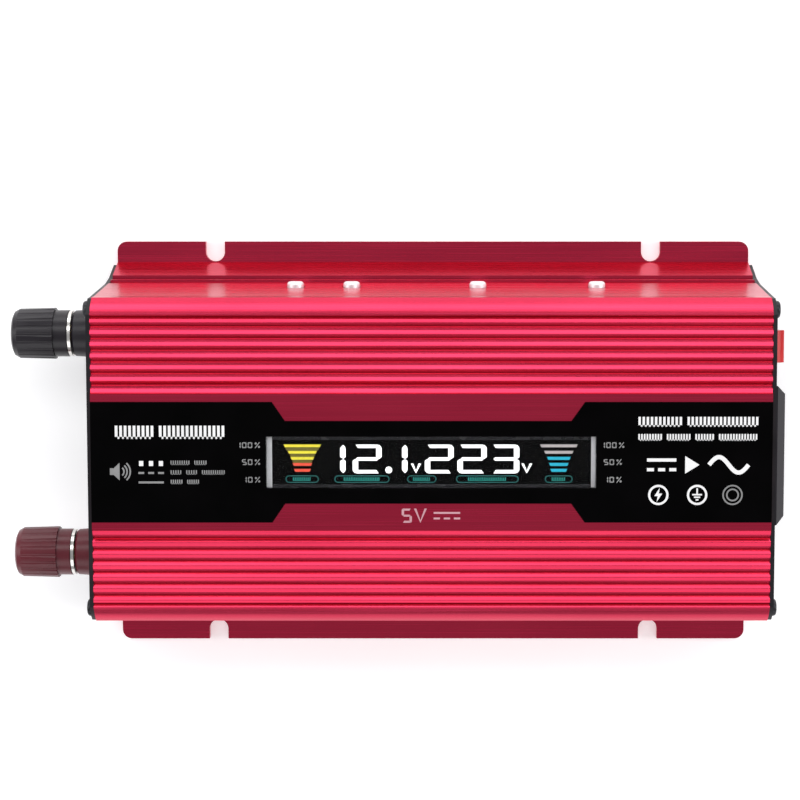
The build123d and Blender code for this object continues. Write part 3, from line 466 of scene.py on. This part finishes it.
def wave_sign(x, y, length, height, stroke, points=28):
    """The sign for alternating current: one sine wave as a band."""
    upper, lower = [], []
    for i in range(points + 1):
        t = i / points
        slope = math.pi * height / length * math.cos(2 * math.pi * t)
        size = math.hypot(1, slope)
        px, py = x + length * t, y + height / 2 * math.sin(2 * math.pi * t)
        upper.append((px - slope / size * stroke / 2, py + stroke / 2 / size))
        lower.append((px + slope / size * stroke / 2, py - stroke / 2 / size))
    return upper + lower[::-1]


def speaker_sign(x, y, size):
    cone = [
        (x, y + size * 0.16), (x + size * 0.18, y + size * 0.16), (x + size * 0.46, y + size * 0.42),
        (x + size * 0.46, y - size * 0.42), (x + size * 0.18, y - size * 0.16), (x, y - size * 0.16),
    ]
    waves = [
        arc_band(
            x + size * 0.42, y, r, r - size * 0.07, -48, 48, 10
        ) for r in (size * 0.28, size * 0.43, size * 0.58)
    ]
    return [cone, *waves]


def bolt_sign(x, y, size):
    points = ((0.1, 0.5), (-0.28, -0.08), (-0.04, -0.08), (-0.12, -0.5), (0.28, 0.1), (0.03, 0.1))
    return [(x + px * size, y + py * size) for px, py in points]


def earth_sign(x, y, size, stroke):
    marks = [box(x - stroke / 2, x + stroke / 2, y, y + size * 0.42)]
    for step, half in enumerate((0.36, 0.23, 0.1)):
        top = y - step * stroke * 1.7
        marks.append(box(x - half * size, x + half * size, top - stroke, top))
    return marks


def face_marks():
    """Plain signs and number scales printed on the face label."""
    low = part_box("face_label")[1][2]
    high = low + PRINT_THICKNESS
    left_x, right_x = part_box("display_window")[0][0] / MM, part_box("display_window")[1][0] / MM

    white = word_ticks(-92.8, -60.2, 8.9, 3.9, (3, 5), 0.8, 1.25)
    white += [box(x - 0.62, x + 0.62, -1.05, 0.45) for x in (-85.2, -82.3, -79.4)]
    white += word_ticks(60.6, 96.2, 12.0, 2.9, (5, 8), 0.7, 1.15)
    white += word_ticks(60.6, 95.8, 7.4, 2.0, (5, 5, 4, 8), 0.48, 0.8)
    white += direct_sign(63.2, -0.7, 8.6, 0.95)
    white.append([(74.4, 1.9), (74.4, -3.3), (78.6, -0.7)])
    white.append(wave_sign(81.4, -0.7, 11.6, 4.6, 1.25))
    white += ring(66.6, -9.6, 3.0, 2.35) + [bolt_sign(66.6, -9.6, 4.2)]
    white += ring(78.0, -9.6, 3.0, 2.35) + earth_sign(78.0, -9.3, 4.0, 0.45)
    flat_marks("face_print_white", white, low, high, PRINT_WHITE)

    grey = speaker_sign(-94.4, -2.7, 6.2)
    grey += [box(x - 0.85, x + 0.85, -3.4, -2.8) for x in (-85.2, -82.3, -79.4)]
    grey.append(box(-86.0, -78.6, -6.2, -5.6))
    grey += word_ticks(-76.6, -65.7, -0.1, 1.3, (6, 4), 0.34, 0.6)
    grey += word_ticks(-76.6, -60.4, -2.95, 1.3, (4, 4, 8), 0.34, 0.6)
    grey += word_ticks(-76.6, -68.0, -5.75, 1.3, (4, 4), 0.34, 0.6)
    for text, height in (("100", 5.1), ("50", 0.1), ("10", -5.1)):
        grey += percent_scale(text, left_x - 1.7, height)
        grey += percent_scale(text, right_x + 8.4 - (3 - len(text)) * 0.7, height)
    for radius in (3.0, 1.9):
        grey += ring(88.4, -9.6, radius, radius - 0.45)
    flat_marks("face_print_grey", grey, low, high, PRINT_GREY)

    pale_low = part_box("top_cover")[1][2]
    pale = digit("5", -8.8, -17.9, 3.0, 4.2, 0.7, 0.6) + chevron(-5.2, -17.9, 3.8, 4.2, 0.7)
    pale += direct_sign(0.6, -15.8, 7.8, 0.55)
    flat_marks("face_print_pale", pale, pale_low, pale_low + PRINT_THICKNESS, PRINT_PALE)


def display_marks():
    """What the lit display shows: two readings, two level funnels and their captions."""
    glass_low, glass_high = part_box("lcd_panel")
    low = glass_high[2]
    high = low + SEGMENT_THICKNESS

    def lit(name, outlines, material):
        flat_marks(name, outlines, low, high, material)

    white, base, tall = [], -3.4, 8.5
    for char, x, width in (
        ("1", -33.6, 8.3), ("2", -23.2, 8.5), ("1", -15.4, 8.3), ("2", -2.0, 8.5), ("2", 7.6, 8.6),
        ("3", 17.3, 8.5)
    ):
        white += digit(char, x, base, width, tall, 1.6, 1.0)
    white.append(disc(-12.6, -2.4, 1.0))
    white += chevron(-6.1, base, 3.0, 2.9, 0.75) + chevron(26.4, base, 3.2, 2.9, 0.75)
    lit("display_digits", white, LCD_WHITE)

    halves = (5.5, 4.3, 3.5, 2.9, 2.5)
    heights = (4.75, 2.85, 1.05, -0.75, -2.5)
    left, right = -38.0, 37.4
    lit(
        "display_funnel_yellow", [funnel_bar(left, w, y, 0.85) for w, y in zip(halves[:3], heights[:3])],
        LCD_YELLOW
    )
    olive = [funnel_bar(left, w - 0.5, y - 0.95, 0.8) for w, y in zip(halves[:3], heights[:3])]
    lit("display_funnel_olive", olive, LCD_OLIVE)
    lit(
        "display_funnel_red", [funnel_bar(left, w, y, 0.85) for w, y in zip(halves[3:], heights[3:])], LCD_RED
    )
    lit(
        "display_funnel_silver", [funnel_bar(right, w, y, 0.85) for w, y in zip(halves[:2], heights[:2])],
        LCD_SILVER
    )
    lit(
        "display_funnel_cyan", [funnel_bar(right, w, y, 0.9) for w, y in zip(halves[2:], heights[2:])],
        LCD_CYAN
    )

    outlines, captions = [], []
    for x0, x1, share in (
        (-43.0, -33.2, 0.55), (-28.6, -12.4, 0.66), (-7.2, 1.4, 0.6), (7.2, 25.6, 0.62), (33.3, 41.5, 0.5)
    ):
        outlines += pill(x0, x1, -5.1, 2.2, 0.28)
        inset = (x1 - x0) * (1 - share) / 2
        captions += word_ticks(x0 + inset, x1 - inset, -5.1, 1.0, (1,), 0.3, 0.5)
    lit("display_captions", outlines, LCD_TEAL)
    lit("display_caption_ticks", captions, LCD_TEAL_LIT)

    x0, x1 = glass_low[0] / MM, glass_high[0] / MM
    y0, y1 = glass_low[1] / MM, glass_high[1] / MM
    lit("display_end_bars", [box(x0, x0 + 1.6, y0, y1), box(x1 - 1.3, x1, y0, y1)], BEZEL_LIGHT)
    lit(
        "display_edge_lines", [box(x0 + 1.6, x1 - 1.3, y1 - 1.0, y1), box(x0 + 1.6, x1 - 1.3, y0, y0 + 0.9)],
        BEZEL_DARK
    )


def display_cover():
    """The clear window as a thin sheet, with air between it and the display."""
    low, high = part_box("display_window")
    mesh = bpy.data.meshes.new("display_cover_sheet")
    shape = bmesh.new()
    bmesh.ops.create_cube(shape, size=1.0)
    size = (high[0] - low[0], high[1] - low[1], COVER_THICKNESS)
    middle = ((low[0] + high[0]) / 2, (low[1] + high[1]) / 2, high[2] - COVER_THICKNESS / 2)
    for vertex in shape.verts:
        vertex.co = [vertex.co[i] * size[i] + middle[i] for i in range(3)]
    bmesh.ops.bevel(shape, geom=shape.edges[:], offset=0.12 * MM, segments=2, affect="EDGES")
    shape.to_mesh(mesh)
    shape.free()
    piece = add_piece("display_cover_sheet", mesh, MATERIALS["window_clear"])
    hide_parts("display_window")


# ---------------------------------------------------------------- setting

def floor():
    """A large pale sheet under the object."""
    mesh = bpy.data.meshes.new("floor")
    shape = bmesh.new()
    bmesh.ops.create_grid(shape, x_segments=2, y_segments=2, size=6.0)
    shape.to_mesh(mesh)
    shape.free()
    sheet = bpy.data.objects.new("floor", mesh)
    sheet.location.z = -FLOOR_DROP
    bpy.context.scene.collection.objects.link(sheet)
    material, tree, shader = new_material("floor_pale")
    shade = ramp(tree, noise(tree, 6), (0.86, 0.86, 0.87), (0.9, 0.9, 0.9))
    tree.links.new(shade, shader.inputs["Base Color"])
    tree.links.new(shade, shader.inputs["Emission Color"])
    shader.inputs["Emission Strength"].default_value = 0.35
    shader.inputs["Roughness"].default_value = 0.7
    mesh.materials.append(material)


def softbox(name, place, target, size, power):
    light = bpy.data.lights.new(name, "AREA")
    light.shape = "RECTANGLE"
    light.size, light.size_y = size
    light.energy = power
    lamp = bpy.data.objects.new(name, light)
    lamp.location = place
    aim = Vector(target) - Vector(place)
    lamp.rotation_euler = aim.to_track_quat("-Z", "Y").to_euler()
    bpy.context.scene.collection.objects.link(lamp)


def studio():
    """Long softboxes beside the case under a dim ceiling, so its flat top stays dark and its ribs shine."""
    softbox("far_high_strip", (0, 0.55, 0.99), CASE_MIDDLE, (1.9, 0.35), 6.0)
    softbox("far_low_strip", (0, 1.07, 0.29), CASE_MIDDLE, (1.9, 0.43), 7.0)
    softbox("near_softbox", (0, -0.88, 0.7), CASE_MIDDLE, (1.9, 0.67), 5.5)
    softbox("left_softbox", (-1.1, 0.1, 0.7), CASE_LOWER, (0.6, 0.9), 4)
    softbox("right_softbox", (1.1, 0.1, 0.7), CASE_LOWER, (0.6, 0.9), 5)
    world = bpy.data.worlds.new("studio_air")
    world.use_nodes = True
    world.node_tree.nodes["Background"].inputs["Color"].default_value = (0.97, 0.97, 1.0, 1)
    world.node_tree.nodes["Background"].inputs["Strength"].default_value = 0.38
    bpy.context.scene.world = world
    bpy.context.scene.view_settings.view_transform = "Standard"


def camera():
    """Looks almost straight down at the label, from a little beyond the case's far side."""
    data = bpy.data.cameras.new("view")
    data.lens = 95.07
    data.sensor_width = 36
    data.shift_x = -0.0625
    data.clip_start, data.clip_end = 0.01, 50
    eye = bpy.data.objects.new("view", data)
    tilt = math.radians(5.146)
    eye.location = (0.00541, 0.07384, 0.67397)
    eye.rotation_euler = (-tilt, 0, 0)
    bpy.context.scene.collection.objects.link(eye)
    bpy.context.scene.camera = eye


dress_cad_nodes()
face_marks()
display_marks()
display_cover()
floor()
studio()
camera()
